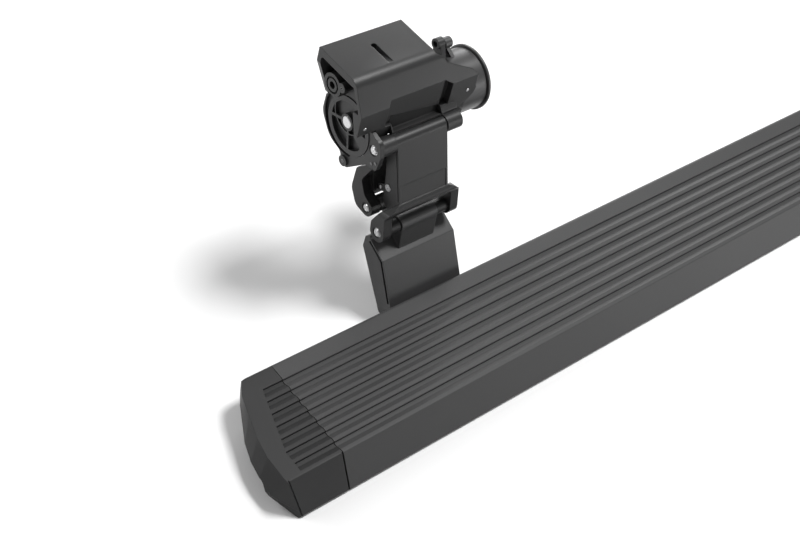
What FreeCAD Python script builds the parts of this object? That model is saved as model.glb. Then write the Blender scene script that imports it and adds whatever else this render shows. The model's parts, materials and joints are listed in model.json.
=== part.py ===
import FreeCAD, Part
import math
import os

# Power running board: a ribbed step hung on two swing linkages, the front one driven by a motor.
# Millimetres. +X runs along the board to the rear, +Y points inboard to the vehicle, +Z is up.
# The origin lies on the top mounting face of the front housing, above the middle of its linkage.
# The board stands in its deployed place.

V = FreeCAD.Vector

# Board and linkage layout
extrusion_length = 1780.0
linkage_inset = 244.4
upper_pivot_y = -67.5
upper_pivot_z = -88.0
link_reach = 31.5
link_drop = 111.0
arm_pivot_in = 31.2
arm_pivot_up = 11.7
board_below_pivot = 72.5
board_front_out = 198.0

# Running fits and gaps
pin_play = 0.05
shaft_play = 0.05
seat_gap = 0.3
side_gap = 0.7
joint_gap = 0.8

# Board section
board_top_width = 140.0
board_edge_height = 21.5
board_front_height = 45.0
board_nose = 25.0
board_wall = 3.0
board_deck = 6.2
edge_round = 5.0
rib_count = 7
rib_pitch = 16.45
groove_first = 16.3
groove_depth = 3.0
groove_floor = 4.9
groove_ramp = 5.7
crest_round = 0.7
tslot_front_y = 50.0
tslot_rear_y = 112.0
tslot_mouth = 9.0
tslot_width = 17.0
tslot_height = 6.5
tslot_lip = 3.0

# End caps
cap_reach = 74.8
cap_bend_y = 37.5
cap_mid_y = 93.0
cap_mid_in = 14.0
cap_rear_y = 119.0
cap_rear_in = 22.0
cap_back_in = 33.0
cap_lean = 0.464
cap_corner_lean = 0.82
cap_corner_drop = 0.275
cap_wall = 3.5
cap_seam = 1.4
cap_groove_near = 27.0
cap_groove_far = 54.0
cap_tongue = 30.0
cap_screw_r = 2.2
cap_screw_front_y = 32.5
tongue_width = 11.0
tongue_height = 9.0

# Housing casting
cover_left = 89.2
cover_right = 29.7
beam_bend_x = 43.5
beam_bend_y = -45.2
flap_right = 89.2
cover_back_y = 30.0
cover_back_drop = 73.5
cover_wall = 9.5
cover_back_wall = 6.5
front_face_y = -59.0
front_face_top = 36.3
front_face_bottom = 66.0
front_wall = 15.0
front_lip = 5.5
slope_wall = 5.0
slope_angle = 60.0
bend_radius = 16.0
slot_half = 3.25
slot_deep_y = 1.0
slot_end_y = -29.0
slot_depth = 8.0
notch_left = 45.0
notch_right = 37.0
notch_splay_left = 3.4
notch_splay_right = 11.6
notch_rise = 6.6
notch_depth = 3.8
relief_depth = 20.0
boss_radius = 11.5
boss_outer = 60.4
boss_inner = 39.0
barrel_start = 61.6
barrel_end = 79.6
barrel_radius = 38.5
motor_y = -18.7
motor_z = -83.1
mount_hole_r = 4.25
mount_hole_depth = 20.0
mount_hole_spacing = 60.0
mount_hole_z = -14.0
mount_centre_x = -12.0
mount_boss_r = 9.0

# Gear case at the left end
plate_thickness = 5.7
ring_y = -20.5
ring_z = -88.0
ring_bore = 37.8
moat_radius = 43.5
moat_depth = 3.6
cover_rim = 6.5
hub_radius = 10.5
plug_radius = 7.5
shaft_boss_r = 10.0
window_y = -16.5
window_z = -74.5
window_radius = 23.5
window_depth = 3.0
pocket_depth = 4.2
bearing_y = 7.1
bearing_z = -43.0
bearing_ring_r = 8.3
bearing_hole_r = 4.6
stud_y = -8.5
stud_z = -35.5
foot_lug_y = -25.5
foot_lug_z = -139.0
foot_lug_r = 7.0
bearing_boss_r = 15.0
bearing_boss_reach = 13.0
stud_boss_r = 6.0

# Motor
can_end = 116.2
seal_width = 1.4
end_plate_thickness = 4.4
end_plate_radius = 41.5
motor_lug_y = -0.8
motor_lug_z = -27.0
motor_lug_r = 7.0
motor_lug_left = 66.0
motor_lug_mid = 76.0
can_lug_left = 84.6
motor_lug_right = 95.0
gland_radius = 8.0
gland_length = 14.0

# Swing link
link_half_width = 38.3
link_eye = 10.0
link_neck_out = 16.0
link_back_out = 12.5
link_shoulder = 76.0
link_cross_end = 91.0
link_edge_drop = 90.0
link_groove = 1.2
clevis_half_width = 59.5
clevis_lug = 12.5
clevis_radius = 12.5
pivot_pin_r = 6.0
bush_radius = 8.0
pin_recess = 1.2
pin_recess_r = 7.2
pin_nose_r = 5.0
spacer_radius = 9.3

# Drive arm
arm_left = 54.4
arm_thickness = 14.0
arm_hub_r = 12.0
arm_eye_r = 11.0
arm_wall_extra = 21.5
drive_shaft_r = 6.5
arm_pin_r = 5.0

# Swing bracket under the board
bracket_half_width = 57.5
barrel_half_width = 28.0
seam_inset = 2.0
seam_width = 3.4
seam_depth = 5.0
bracket_barrel_r = 11.0
foot_front_y = 40.0
foot_thickness = 10.0
foot_bolt_x = 38.0
foot_bolt_r = 4.0

# Places worked out from the sizes above
lower_pivot_y = upper_pivot_y - link_reach
lower_pivot_z = upper_pivot_z - link_drop
arm_top_y = upper_pivot_y + arm_pivot_in
arm_top_z = upper_pivot_z + arm_pivot_up
arm_low_y = lower_pivot_y + arm_pivot_in
arm_low_z = lower_pivot_z + arm_pivot_up
deck_z = lower_pivot_z - board_below_pivot
deck_front_y = lower_pivot_y - board_front_out
board_left_x = -linkage_inset
board_right_x = extrusion_length - linkage_inset
linkage_spacing = extrusion_length - 2 * linkage_inset
link_length = math.hypot(link_reach, link_drop)
plate_right = -boss_outer - seat_gap
plate_left = plate_right - plate_thickness
through = 400.0
half_through = through / 2


def rounded_wire(corners, place):
    # A closed outline of (u, v) or (u, v, radius) corners, with its corners rounded
    count = len(corners)
    edges = []
    starts = []
    ends = []
    mids = []
    for i in range(count):
        u, v = corners[i][0], corners[i][1]
        radius = corners[i][2] if len(corners[i]) > 2 else 0.0
        before = V(corners[i - 1][0] - u, corners[i - 1][1] - v, 0)
        after = V(corners[(i + 1) % count][0] - u, corners[(i + 1) % count][1] - v, 0)
        before.normalize()
        after.normalize()
        half = math.acos(max(-1.0, min(1.0, before.dot(after)))) / 2
        corner = V(u, v, 0)
        if radius <= 0 or half > math.pi / 2 - 0.001:
            starts.append(corner)
            ends.append(corner)
            mids.append(None)
            continue
        reach = radius / math.tan(half)
        middle = before + after
        middle.normalize()
        starts.append(corner + before * reach)
        ends.append(corner + after * reach)
        mids.append(corner + middle * (radius / math.sin(half) - radius))
    for i in range(count):
        if mids[i] is not None:
            edges.append(Part.Arc(place(starts[i]), place(mids[i]), place(ends[i])).toShape())
        nearby = ends[i].distanceToPoint(starts[(i + 1) % count])
        if nearby > 0.000001:
            edges.append(Part.LineSegment(place(ends[i]), place(starts[(i + 1) % count])).toShape())
    return Part.Wire(edges)


def prism_x(corners, x0, x1):
    # The outline lies in Y and Z and runs along X
    wire = rounded_wire(corners, lambda p: V(x0, p.x, p.y))
    return Part.Face(wire).extrude(V(x1 - x0, 0, 0))


def prism_y(corners, y0, y1):
    # The outline lies in X and Z and runs along Y
    wire = rounded_wire(corners, lambda p: V(p.x, y0, p.y))
    return Part.Face(wire).extrude(V(0, y1 - y0, 0))


def prism_z(corners, z0, z1):
    # The outline lies in X and Y and runs along Z
    wire = rounded_wire(corners, lambda p: V(p.x, p.y, z0))
    return Part.Face(wire).extrude(V(0, 0, z1 - z0))


def rod(y, z, radius, x0, x1):
    return Part.makeCylinder(radius, x1 - x0, V(x0, y, z), V(1, 0, 0))


def rod_z(x, y, radius, z0, z1):
    return Part.makeCylinder(radius, z1 - z0, V(x, y, z0), V(0, 0, 1))


def rod_y(x, z, radius, y0, y1):
    return Part.makeCylinder(radius, y1 - y0, V(x, y0, z), V(0, 1, 0))


def turned(y, z, steps):
    # A turned piece on an axis along X, from (x, radius) steps
    points = [V(steps[0][0], 0, 0)]
    for x, radius in steps:
        points.append(V(x, radius, 0))
    points.append(V(steps[-1][0], 0, 0))
    points.append(points[0])
    body = Part.Face(Part.makePolygon(points)).revolve(V(0, 0, 0), V(1, 0, 0), 360)
    body.translate(V(0, y, z))
    return body


def tapered_bar(first, second, x0, x1):
    # A flat bar whose outline wraps two circles, each (y, z, radius)
    span = V(second[0] - first[0], second[1] - first[1], 0)
    length = span.Length
    lean = math.asin((first[2] - second[2]) / length)
    heading = math.atan2(span.y, span.x)
    points = []
    for circle in (first, second):
        for side in (1, -1):
            angle = heading + side * (math.pi / 2 - lean)
            points.append((circle[0] + circle[2] * math.cos(angle), circle[1] + circle[2] * math.sin(angle)))
    middle = prism_x([points[0], points[1], points[3], points[2]], x0, x1)
    ends = [rod(c[0], c[1], c[2], x0, x1) for c in (first, second)]
    return middle.multiFuse(ends).removeSplitter()


def joined(pieces):
    return pieces[0].multiFuse(pieces[1:]).removeSplitter()


def moved(shape, x):
    copy = shape.copy()
    copy.translate(V(x, 0, 0))
    return copy


def groove_walls():
    return [groove_first + i * rib_pitch for i in range(rib_count)]


def board_at(y, z):
    return (deck_front_y + y, deck_z + z)


def board_corners():
    # Outside of the board section, from the front top edge round under to the back edge
    return [
        board_at(0, 0) + (2.0,),
        board_at(-board_nose, 3.0 - board_front_height) + (3.0,),
        board_at(3.0 - board_nose, -board_front_height) + (2.0,),
        board_at(board_nose, -board_edge_height) + (18.0,),
        board_at(board_top_width - edge_round, -board_edge_height) + (edge_round,),
        board_at(board_top_width, -board_edge_height / 2) + (edge_round,),
        board_at(board_top_width, 0) + (edge_round,),
    ]


def groove_cut(wall_y, x0, x1):
    # One groove between two ribs: a steep wall, a narrow floor and a ramp towards the front
    corners = [
        board_at(wall_y + crest_round, groove_depth),
        board_at(wall_y + crest_round, 0.0),
        board_at(wall_y, -crest_round),
        board_at(wall_y, -groove_depth),
        board_at(wall_y - groove_floor, -groove_depth),
        board_at(wall_y - groove_floor - groove_ramp, -crest_round / 2),
        board_at(wall_y - groove_floor - groove_ramp - crest_round, 0.0),
        board_at(wall_y - groove_floor - groove_ramp - crest_round, groove_depth),
    ]
    return prism_x(corners, x0, x1)


def front_chamber():
    floor = board_wall - board_edge_height
    return [
        board_at(board_wall, -board_deck) + (2.0,),
        board_at(board_wall * 2 - board_nose, board_wall * 2 - board_front_height) + (2.0,),
        board_at(board_nose - board_wall, floor) + (8.0,),
        board_at(tslot_front_y - tslot_width / 2 - board_wall, floor),
        board_at(tslot_front_y - tslot_width / 2 - board_wall, -board_deck),
    ]


def flat_chamber(y0, y1):
    floor = board_wall - board_edge_height
    return [board_at(y0, -board_deck), board_at(y0, floor), board_at(y1, floor), board_at(y1, -board_deck)]


def chambers():
    half = tslot_width / 2 + board_wall
    return [
        front_chamber(),
        flat_chamber(tslot_front_y + half, tslot_rear_y - half),
        flat_chamber(tslot_rear_y + half, board_top_width - board_wall - edge_round / 2),
    ]


def tslot_cut(y, x0, x1):
    bottom = -board_edge_height
    mouth = prism_x([board_at(y - tslot_mouth / 2, bottom - board_wall),
                     board_at(y + tslot_mouth / 2, bottom - board_wall),
                     board_at(y + tslot_mouth / 2, bottom + tslot_lip + 1.0),
                     board_at(y - tslot_mouth / 2, bottom + tslot_lip + 1.0)], x0, x1)
    room = prism_x([board_at(y - tslot_width / 2, bottom + tslot_lip),
                    board_at(y + tslot_width / 2, bottom + tslot_lip),
                    board_at(y + tslot_width / 2, bottom + tslot_lip + tslot_height),
                    board_at(y - tslot_width / 2, bottom + tslot_lip + tslot_height)], x0, x1)
    return mouth.fuse(room)


def board_extrusion():
    x0, x1 = board_left_x, board_right_x
    body = prism_x(board_corners(), x0, x1)
    cuts = [prism_x(c, x0, x1) for c in chambers()]
    cuts += [groove_cut(y, x0, x1) for y in groove_walls()]
    cuts += [tslot_cut(y, x0, x1) for y in (tslot_front_y, tslot_rear_y)]
    for x in (board_left_x + cap_tongue / 2, board_right_x - cap_tongue / 2):
        for y in cap_screw_rows():
            cuts.append(rod_z(x, y, cap_screw_r + seat_gap, deck_z - board_front_height, deck_z - board_wall * 4))
    return body.cut(cuts)


def cap_screw_rows():
    return [deck_front_y + cap_screw_front_y, deck_front_y + (tslot_front_y + tslot_rear_y) / 2]


def cap_loft(right):
    # The end of the cap leans outwards as it goes down: one outline at the deck and one at the nose's bottom
    end_x = right - cap_reach
    high = deck_z + 1.0
    low = deck_z - board_front_height - 1.0
    drop = high - low
    lean = cap_lean * drop
    top = [
        (right + 1.0, deck_front_y - board_nose * 2),
        (end_x, deck_front_y - board_nose * 2),
        (end_x, deck_front_y + cap_bend_y),
        (end_x + cap_mid_in / 3, deck_front_y + (cap_bend_y + cap_mid_y) / 2 - 2.0),
        (end_x + cap_mid_in, deck_front_y + cap_mid_y),
        (end_x + cap_rear_in, deck_front_y + cap_rear_y),
        (end_x + cap_back_in, deck_front_y + board_top_width - 3.0),
        (end_x + cap_back_in + 15.0, deck_front_y + board_top_width + 1.0),
        (right + 1.0, deck_front_y + board_top_width + 1.0),
    ]
    # How far each corner moves out, and along the end, on its way down
    slides = [(0.0, 0.0), (lean, 0.0), (lean * 1.2, drop * 0.3), (lean * 1.3, drop * 0.5), (lean * 1.4, drop * 0.75),
              (-lean * 0.2, -drop * 0.13), (-lean * 0.15, 0.0), (0.0, 0.0), (0.0, 0.0)]
    foot = [(p[0] - slide[0], p[1] - slide[1]) for p, slide in zip(top, slides)]
    return Part.makeLoft([rounded_wire(foot, lambda p: V(p.x, p.y, low)),
                          rounded_wire(top, lambda p: V(p.x, p.y, high))], True, True)


def cap_corner(end_x):
    # What comes off under the front corner, where the leaning end turns into the nose
    reach = cap_reach
    levels = []
    for z in (-board_front_height - 1.0, 1.0):
        shift = cap_corner_drop * z
        outline = [
            (end_x + shift + cap_corner_lean * reach, deck_front_y - reach),
            (end_x + shift - cap_corner_lean * reach, deck_front_y + reach),
            (end_x - reach * 2, deck_front_y + reach),
            (end_x - reach * 2, deck_front_y - reach),
        ]
        levels.append(rounded_wire(outline, lambda p, z=z: V(p.x, p.y, deck_z + z)))
    return Part.makeLoft(levels, True, True)


def nose_strip(high_x, low_x, width):
    # A shallow slot down the nose, from the deck's edge to the bottom
    fall = board_front_height - 3.0
    reach = math.hypot(fall, board_nose)
    inward = V(0, fall / reach, -board_nose / reach)
    sheet = Part.Face(rounded_wire([(high_x, -0.1), (high_x + width, -0.1), (low_x + width, 1.2), (low_x, 1.2)],
                                   lambda p: V(p.x, deck_front_y - board_nose * p.y, deck_z - fall * p.y)))
    sheet.translate(inward * -cap_wall)
    return sheet.extrude(inward * (cap_wall + cap_seam))


def cap_channels(right):
    # The deck's grooves run out on the cap, along a line that follows its slanted end
    bound = prism_z([
        (right + 2.0, deck_front_y - 1.0),
        (right - cap_groove_far, deck_front_y - 1.0),
        (right - cap_groove_far, deck_front_y + cap_bend_y - 5.0),
        (right - cap_groove_near, deck_front_y + groove_walls()[-1] + 1.0),
        (right - cap_groove_near, deck_front_y + board_top_width),
        (right + 2.0, deck_front_y + board_top_width),
    ], deck_z - groove_depth * 2, deck_z + groove_depth * 2)
    return [groove_cut(y, right - cap_reach, right + 1.0).common(bound) for y in groove_walls()]


def left_end_cap():
    # A moulded cap with a leaning end, grooves that run out and tongues inside the extrusion
    right = board_left_x - joint_gap
    end_x = right - cap_reach
    outer = prism_x(board_corners(), right - cap_reach * 2, right)
    body = outer.common(cap_loft(right))
    cap = body.cut([cap_corner(end_x)] + cap_channels(right))
    inside = end_x + cap_wall * 3
    for chamber in (front_chamber(), flat_chamber(tslot_front_y, tslot_rear_y)):
        cap = cap.cut(prism_x(chamber, inside + cap_rear_in, right + 1.0))
    cap = cap.cut([nose_strip(end_x + 0.1, end_x + 10.4, cap_seam), nose_strip(right - cap_seam, right - cap_seam, 3.0)])
    tongues = []
    for y in cap_screw_rows():
        block = Part.makeBox(cap_tongue + cap_wall, tongue_width, tongue_height,
                             V(right - cap_wall, y - tongue_width / 2, deck_z - board_edge_height + board_wall + 0.6))
        block = block.cut(rod_z(board_left_x + cap_tongue / 2, y, cap_screw_r, deck_z - 30.0, deck_z))
        tongues.append(block)
    floor = deck_z - board_edge_height + board_wall
    back = Part.makeBox(cap_wall, tslot_rear_y - cap_wall * 4, tslot_lip * 4,
                        V(right - cap_wall, deck_front_y + cap_wall, floor + 0.1))
    return joined([cap, back] + tongues)


def right_end_cap():
    middle = (board_left_x + board_right_x) / 2
    return left_end_cap().mirror(V(middle, 0, 0), V(1, 0, 0))


def cap_screws(x):
    screws = []
    under = deck_z - board_edge_height
    for y in cap_screw_rows():
        shank = rod_z(x, y, cap_screw_r - 0.2, under, under + board_wall + tongue_height)
        screws.append(shank.fuse(rod_z(x, y, cap_screw_r * 1.8, under - 2.2, under)))
    return Part.makeCompound(screws)


def cover_section():
    # Section of the bent cover: back wall, top, bend, slope and the upright front wall
    slope = math.radians(slope_angle)
    top_y = front_face_y + front_face_top / math.tan(slope)
    inner_top = -cover_wall
    skin = slope_wall / math.sin(slope)
    inner_y = top_y - cover_wall / math.tan(slope) + skin
    return [
        (cover_back_y, -cover_back_drop),
        (cover_back_y, 0.0, 1.5),
        (top_y, 0.0, bend_radius),
        (front_face_y, -front_face_top, 1.5),
        (front_face_y, -front_face_bottom, 1.0),
        (front_face_y + front_lip, -front_face_bottom),
        (front_face_y + front_wall, -front_face_top - 4.0, 1.5),
        (front_face_y + front_wall, -front_face_top - 2.0),
        (front_face_y + skin, -front_face_top),
        (inner_y, inner_top, 4.0),
        (cover_back_y - cover_back_wall, inner_top, 4.0),
        (cover_back_y - cover_back_wall, -cover_back_drop),
    ]


def slope_beam():
    # The part of the slope and front wall that reaches past the top, out over the motor
    slope = math.radians(slope_angle)
    top_y = front_face_y + front_face_top / math.tan(slope)
    section = [
        (motor_y - 4.0, 0.0),
        (top_y, 0.0, bend_radius),
        (front_face_y, -front_face_top, 1.5),
        (front_face_y, -front_face_bottom, 1.0),
        (motor_y - 4.0, -front_face_bottom),
    ]
    beam = prism_x(section, cover_right - 1.0, flap_right)
    behind = [
        (cover_right + 2.0, motor_y - 3.0),
        (flap_right + 1.0, front_face_y + 1.8),
        (flap_right + 1.0, cover_back_y),
        (cover_right - 3.0, cover_back_y),
        (cover_right - 3.0, motor_y - 3.0),
    ]
    above = [
        (cover_right + 0.2, top_y + 2.5),
        (beam_bend_x, beam_bend_y),
        (barrel_end + 0.5, front_face_y + 4.9),
        (flap_right + 1.0, front_face_y - 0.5),
        (flap_right + 1.0, cover_back_y),
        (cover_right + 0.2, cover_back_y),
    ]
    beam = beam.cut(prism_z(behind, -front_face_bottom - 1.0, 1.0))
    return beam.cut(prism_z(above, motor_z + barrel_radius - 1.0, 1.0))


def flap_corner():
    # The front wall's right end reaches lower, and runs round into the ear
    low = upper_pivot_z + boss_radius - 2.0
    return prism_y([
        (notch_right + notch_splay_right, -front_face_bottom + 12.0),
        (flap_right + 1.5, -front_face_bottom + 12.0),
        (flap_right + 1.5, -front_face_bottom + 4.0, 9.0),
        (flap_right - 6.0, low + 7.0, 12.0),
        (barrel_start + 6.0, low),
        (boss_inner + 10.0, low),
    ], front_face_y, front_face_y + 5.0)


def ramp_slot(x):
    floor = [
        (slot_deep_y, 1.0),
        (slot_deep_y, -slot_depth),
        (slot_end_y, 0.4),
        (slot_end_y, 1.0),
    ]
    ramp = prism_x(floor, x - slot_half, x + slot_half)
    return ramp.fuse(rod_z(x, slot_deep_y, slot_half, -slot_depth, 1.0))


def notch_cuts():
    # The recess in the front wall over the link, with a deep relief at its right side
    low = -front_face_bottom - 1.0
    rise = -front_face_top + notch_rise
    face = [
        (-notch_left, rise),
        (notch_right, rise),
        (notch_right + notch_splay_right, -front_face_top),
        (notch_right + notch_splay_right, low),
        (-notch_left - notch_splay_left, low),
        (-notch_left - notch_splay_left, -front_face_top),
    ]
    relief = [
        (notch_right, rise),
        (notch_right + notch_splay_right, -front_face_top),
        (notch_right + notch_splay_right, low),
        (notch_right, low),
    ]
    shallow = prism_y(face, front_face_y - 9.0, front_face_y + notch_depth)
    deep = prism_y(relief, front_face_y - 9.0, front_face_y + notch_depth + 5.0)
    return shallow.fuse(deep)


def ear(side):
    # One round ear for the upper pin, with the web that hangs it from the front wall
    x0, x1 = (-boss_outer, -boss_inner) if side < 0 else (boss_inner, barrel_start + 0.4)
    boss = rod(upper_pivot_y, upper_pivot_z, boss_radius, x0, x1)
    web = [
        (front_face_y + 1.2, -front_face_bottom + 4.0),
        (front_face_y + 1.2, upper_pivot_z + 7.0),
        (upper_pivot_y + boss_radius - 1.0, upper_pivot_z - 2.0),
        (arm_top_y - arm_hub_r - 2.0, upper_pivot_z + 8.0, 8.0),
        (front_face_y + front_wall, -front_face_top - 8.0),
        (front_face_y + front_wall, -front_face_top - 4.0),
    ]
    return boss.fuse(prism_x(web, x0, x1))


def inner_wall(x0, x1):
    # The wall inside the front, which closes the gap above the link's eye
    return prism_x([
        (front_face_y + 3.6, -front_face_bottom + 6.0),
        (front_face_y + 4.2, -front_face_bottom + 2.5),
        (upper_pivot_y + 3.4, upper_pivot_z + 14.0, 3.0),
        (upper_pivot_y + 3.8, upper_pivot_z + 10.2),
        (upper_pivot_y + 9.5, upper_pivot_z + 8.0),
        (upper_pivot_y + 37.5, upper_pivot_z - 0.6),
        (upper_pivot_y + 38.5, upper_pivot_z + 2.8),
        (upper_pivot_y + 15.0, upper_pivot_z + 12.5, 3.0),
        (front_face_y + 11.0, -front_face_bottom + 6.0),
    ], x0, x1)


def mount_holes(centre):
    return [centre - mount_hole_spacing / 2, centre + mount_hole_spacing / 2]


def mount_bosses(centre):
    return [rod_y(x, mount_hole_z, mount_boss_r, cover_back_y - mount_hole_depth - 4.0, cover_back_y)
            for x in mount_holes(centre)]


def mount_bores(centre):
    return [rod_y(x, mount_hole_z, mount_hole_r, cover_back_y - mount_hole_depth, cover_back_y + 1.0)
            for x in mount_holes(centre)]


def front_housing():
    centre = (cover_right - cover_left) / 2
    shell = prism_x(cover_section(), -cover_left, cover_right)
    slant = prism_y([(-cover_left - 1.0, -17.5), (plate_left, -cover_back_drop), (plate_left, -through),
                     (-cover_left - 1.0, -through)], cover_back_y - cover_back_wall - 1.0, cover_back_y + 1.0)
    shell = shell.cut(slant)
    barrel = rod(motor_y, motor_z, barrel_radius, barrel_start, barrel_end)
    web = prism_x([(upper_pivot_y, upper_pivot_z - boss_radius), (motor_y, motor_z - barrel_radius),
                   (motor_y, motor_z), (upper_pivot_y, upper_pivot_z + boss_radius)],
                  barrel_start, barrel_start + 5.0)
    lug = rod(motor_lug_y, motor_lug_z, motor_lug_r, motor_lug_left, motor_lug_mid)
    lug_web = prism_x([(motor_lug_y - motor_lug_r, motor_lug_z), (motor_lug_y + motor_lug_r, motor_lug_z),
                       (motor_y + 16.0, motor_z + 20.0), (motor_y - 4.0, motor_z + 20.0)],
                      motor_lug_left + 3.0, motor_lug_mid)
    body = joined([shell, slope_beam(), flap_corner(), barrel, web, lug, lug_web, ear(-1), ear(1),
                   inner_wall(-link_half_width - 0.6, barrel_start + 0.4)] + mount_bosses(mount_centre_x))
    cuts = [ramp_slot(centre), notch_cuts()] + mount_bores(mount_centre_x)
    cuts.append(rod(motor_y, motor_z, barrel_radius + seat_gap, barrel_end, through))
    cuts.append(rod(upper_pivot_y, upper_pivot_z, pivot_pin_r, -through, barrel_start - 4.0))
    cuts.append(rod(arm_top_y, arm_top_z, drive_shaft_r + shaft_play, barrel_start - 1.0, barrel_end - 6.0))
    cuts.append(rod(arm_top_y, arm_top_z, drive_shaft_r + 1.0, -link_half_width - 2.0, barrel_start - 1.0))
    cuts.append(rod(motor_lug_y, motor_lug_z, 3.8, 0.0, barrel_end + 1.0))
    return body.cut(cuts)


def plate_outline():
    # Side plate of the gear case, seen along X
    return [
        (front_face_y + front_wall + 7.5, -cover_wall - 0.4),
        (cover_back_y - cover_back_wall - 0.4, -cover_wall - 0.4),
        (cover_back_y - cover_back_wall - 0.4, -cover_back_drop),
        (cover_back_y - 3.0, -cover_back_drop - 1.0, 4.0),
        (cover_back_y - 2.0, ring_z - 14.0, 20.0),
        (ring_y + 28.0, ring_z - 39.0, 30.0),
        (ring_y + 3.0, ring_z - 44.0, 8.0),
        (ring_y + 2.0, ring_z - 58.0, 6.5),
        (ring_y - 11.0, ring_z - 58.0, 7.0),
        (upper_pivot_y + 6.0, upper_pivot_z - 26.5, 3.0),
        (upper_pivot_y - 11.0, upper_pivot_z - 23.5, 4.0),
        (upper_pivot_y - 13.8, upper_pivot_z - 2.0, 12.0),
        (upper_pivot_y - 9.0, upper_pivot_z + 15.5, 10.0),
        (front_face_y + front_lip - 0.5, -front_face_bottom - 1.0),
        (front_face_y + front_lip + 0.7, -front_face_bottom),
        (front_face_y + front_wall + 0.7, -front_face_top - 4.5),
        (front_face_y + front_wall + 0.7, -front_face_top + 12.0),
    ]


def gear_case_plate():
    plate = prism_x(plate_outline(), plate_left, plate_right)
    face = plate_left - bearing_boss_reach
    bearing = rod(bearing_y, bearing_z, bearing_boss_r, face, plate_right)
    stud = rod(stud_y, stud_z, stud_boss_r, face, plate_right)
    lug = rod(foot_lug_y, foot_lug_z, foot_lug_r, plate_left - 2.5, plate_right)
    body = joined([plate, bearing, stud, lug])
    ring = rod(bearing_y, bearing_z, bearing_ring_r + 2.4, face - 1.0, face + 3.0)
    ring = ring.cut(rod(bearing_y, bearing_z, bearing_ring_r, face - 2.0, face + 4.0))
    cuts = [ring, rod(bearing_y, bearing_z, bearing_hole_r, face - 1.0, face + 9.0)]
    cuts.append(rod(stud_y, stud_z, 1.8, face - 1.0, face + 6.0))
    cuts.append(rod(ring_y, ring_z, ring_bore, -through, plate_right + 1.0))
    moat = rod(ring_y + 2.0, ring_z + 1.0, moat_radius, -through, plate_left + moat_depth)
    half = prism_x([(ring_y + 2.0, ring_z + 33.0), (through, ring_z + 20.0), (through, -through),
                    (ring_y - 14.0, -through), (ring_y - 12.0, ring_z)], -through, 0.0)
    cuts.append(moat.common(half))
    cuts.append(rod(upper_pivot_y, upper_pivot_z, pivot_pin_r, -through, plate_right + 1.0))
    cuts.append(rod(upper_pivot_y, upper_pivot_z, pin_recess_r, -through, plate_left + pin_recess))
    cuts.append(rod(foot_lug_y, foot_lug_z, 2.0, -through, plate_left + 1.0))
    return body.cut(cuts)


def spoke(angle, width, length):
    # A web from the hub towards the rim, at an angle from +Y
    heading = math.radians(angle)
    along = V(math.cos(heading), math.sin(heading), 0)
    across = V(-along.y, along.x, 0) * (width / 2)
    root = V(motor_y, motor_z, 0)
    tip = root + along * length
    corners = [root + across, tip + across, tip - across, root - across]
    return prism_x([(p.x, p.y) for p in corners], plate_left - 1.0, plate_right)


def gear_cover():
    # A round ribbed cover in the plate's bore, with the hub that carries the bearing plug
    outer = ring_bore - 0.4
    disc = rod(ring_y, ring_z, outer, plate_left - 1.0, plate_right)
    inner = rod(ring_y, ring_z, outer - cover_rim, -through, 0.0)
    window = rod(window_y, window_z, window_radius, plate_left - 2.0, plate_left + window_depth)
    pocket = rod(ring_y, ring_z, outer - cover_rim, plate_left - 2.0, plate_left + pocket_depth)
    pocket = pocket.cut(rod(window_y, window_z, window_radius + 1.5, -through, 0.0))
    shelf = prism_x([(motor_y - 8.0, motor_z), (motor_y - 15.0, motor_z - 12.0), (motor_y - 28.0, motor_z - 18.0),
                     (motor_y - 20.0, motor_z - 60.0), (motor_y - 60.0, motor_z - 30.0), (motor_y - 50.0, motor_z)],
                    -through, 0.0)
    slot = prism_x([(window_y - 14.5, window_z + 12.0, 2.0), (window_y - 20.0, window_z + 12.0, 2.0),
                    (window_y - 22.5, window_z - 7.0, 2.0), (window_y - 16.5, window_z - 7.0, 2.0)],
                   plate_left - 2.0, plate_left + pocket_depth)
    keep = [rod(motor_y, motor_z, hub_radius, -through, 0.0), spoke(-18.0, 3.6, 30.0), spoke(-104.0, 3.0, 40.0)]
    hollow = window.common(inner).fuse(pocket.cut(shelf)).fuse(slot)
    body = disc.cut(hollow.cut(keep))
    lower = prism_x([(motor_y - 10.5, motor_z - 11.0, 2.0), (motor_y - 17.5, motor_z - 14.0, 2.0),
                     (motor_y - 19.0, motor_z - 19.0, 2.0), (motor_y - 25.0, motor_z - 22.0, 3.0),
                     (motor_y - 21.5, motor_z - 28.0, 3.0), (motor_y - 11.0, motor_z - 26.5, 2.0)],
                    plate_left - 2.0, plate_left + pocket_depth)
    hub = rod(motor_y, motor_z, hub_radius, plate_left - 2.6, plate_right)
    shaft_boss = rod(arm_top_y, arm_top_z, shaft_boss_r, plate_right - 0.5, plate_right + 4.2)
    body = joined([body.cut(lower), hub, shaft_boss])
    plug_room = rod(motor_y, motor_z, plug_radius, plate_left - 4.0, plate_left + 1.5)
    shaft_room = rod(arm_top_y, arm_top_z, drive_shaft_r + shaft_play, plate_right - 0.8, plate_right + 6.0)
    return body.cut([plug_room, shaft_room])


def bearing_plug():
    face = plate_left - 3.4
    return turned(motor_y, motor_z, [(face, plug_radius - 1.2), (face + 0.6, plug_radius - 0.1),
                                     (plate_left + 1.5, plug_radius - 0.1)])


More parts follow.
